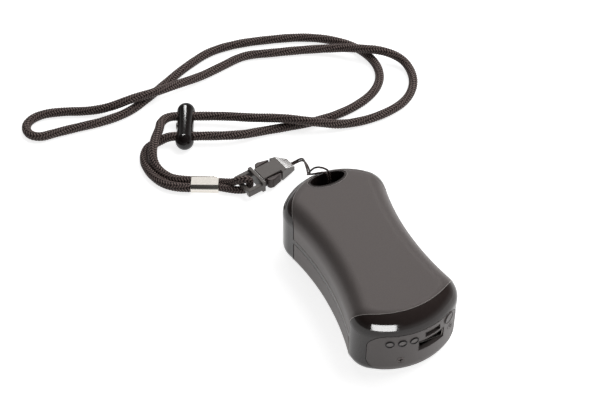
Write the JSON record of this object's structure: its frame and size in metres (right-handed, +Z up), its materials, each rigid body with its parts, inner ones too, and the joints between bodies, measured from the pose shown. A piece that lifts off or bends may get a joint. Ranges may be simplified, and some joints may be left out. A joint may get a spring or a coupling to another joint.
{
  "type": "rechargeable hand warmer",
  "caption": "Hourglass pocket hand warmer with satin covers, a charging end and an oval lanyard hole, on a braided neck cord with a slider and a side-release buckle.",
  "frame": {"origin": "middle of the case's footprint, on the flat of the rear cover", "axes": "+X across the case to the power button's side, +Y along it to the lanyard hole, +Z up through its thickness to the front cover"},
  "size_m": [0.2004, 0.2317, 0.0367],
  "materials": {
    "satin_metal": "satin dark grey anodised",
    "satin_plastic": "satin dark grey",
    "gloss_black": "polished black",
    "smoked_window": "translucent smoked",
    "lamp_white": "moulded",
    "steel": "plain",
    "contact_plastic": "moulded",
    "board_green": "soldermask",
    "chip_black": "moulded",
    "cell_sleeve": "shrink sleeve over a metal can",
    "nickel_strip": "nickel sheet",
    "film_amber": "polyimide film",
    "foam": "closed-cell foam",
    "lead_rubber": "silicone insulation",
    "cord_fabric": "braided",
    "bright_nickel": "bright nickel plate",
    "buckle_plastic": "moulded"
  },
  "bodies": {
    "case": {"front_cover": "satin_metal", "rear_cover": "satin_metal", "case_frame": "gloss_black", "end_plate": "satin_plastic", "lanyard_eyelet": "gloss_black", "light_windows": "smoked_window", "status_leds": "lamp_white", "end_plate_screws": "steel", "power_switch": "contact_plastic", "circuit_board": "board_green", "board_screw": "steel", "usb_a_shell": "steel", "usb_a_tongue": "contact_plastic", "micro_usb_shell": "steel", "micro_usb_tongue": "contact_plastic", "control_chip": "chip_black", "boost_coil": "chip_black", "cell_left": "cell_sleeve", "cell_right": "cell_sleeve", "cell_collar_front": "contact_plastic", "cell_collar_back": "contact_plastic", "positive_strip": "nickel_strip", "negative_strip": "nickel_strip", "heating_film_front": "film_amber", "heating_film_rear": "film_amber", "foam_pads_front": "foam", "foam_pads_rear": "foam", "heater_leads_front": "lead_rubber", "heater_leads_rear": "lead_rubber", "temperature_sensor": "lamp_white", "battery_lead": "lead_rubber", "neck_cord": "cord_fabric", "cord_ferrule": "bright_nickel", "cord_bight": "cord_fabric", "buckle_plug": "buckle_plastic", "buckle_socket": "buckle_plastic", "tether_string": "cord_fabric"},
    "button": {"power_button": "satin_plastic"},
    "slider": {"cord_slider": "gloss_black"},
    "prong_left": {"buckle_prong_left": "buckle_plastic"},
    "prong_right": {"buckle_prong_right": "buckle_plastic"}
  },
  "joints": [
    {"name": "power_button_press", "type": "slide", "parent": "case", "child": "button", "axis": [-0.4654, 0.8851, 0], "range_m": [0, 0.0005], "stiffness_N_per_m": 3000},
    {"name": "cord_slider_slide", "type": "slide", "parent": "case", "child": "slider", "axis": [0.9135, -0.4067, 0], "range_m": [0, 0.01]},
    {"name": "buckle_prong_left_squeeze", "type": "hinge", "parent": "case", "child": "prong_left", "pos_m": [-0.0177, 0.08399, 0.0047], "axis": [0, 0, -1], "range_deg": [0, 5], "stiffness_Nm_per_rad": 0.2},
    {"name": "buckle_prong_right_squeeze", "type": "hinge", "parent": "case", "child": "prong_right", "pos_m": [-0.01643, 0.07741, 0.0047], "axis": [0, 0, 1], "range_deg": [0, 5], "stiffness_Nm_per_rad": 0.2}
  ]
}
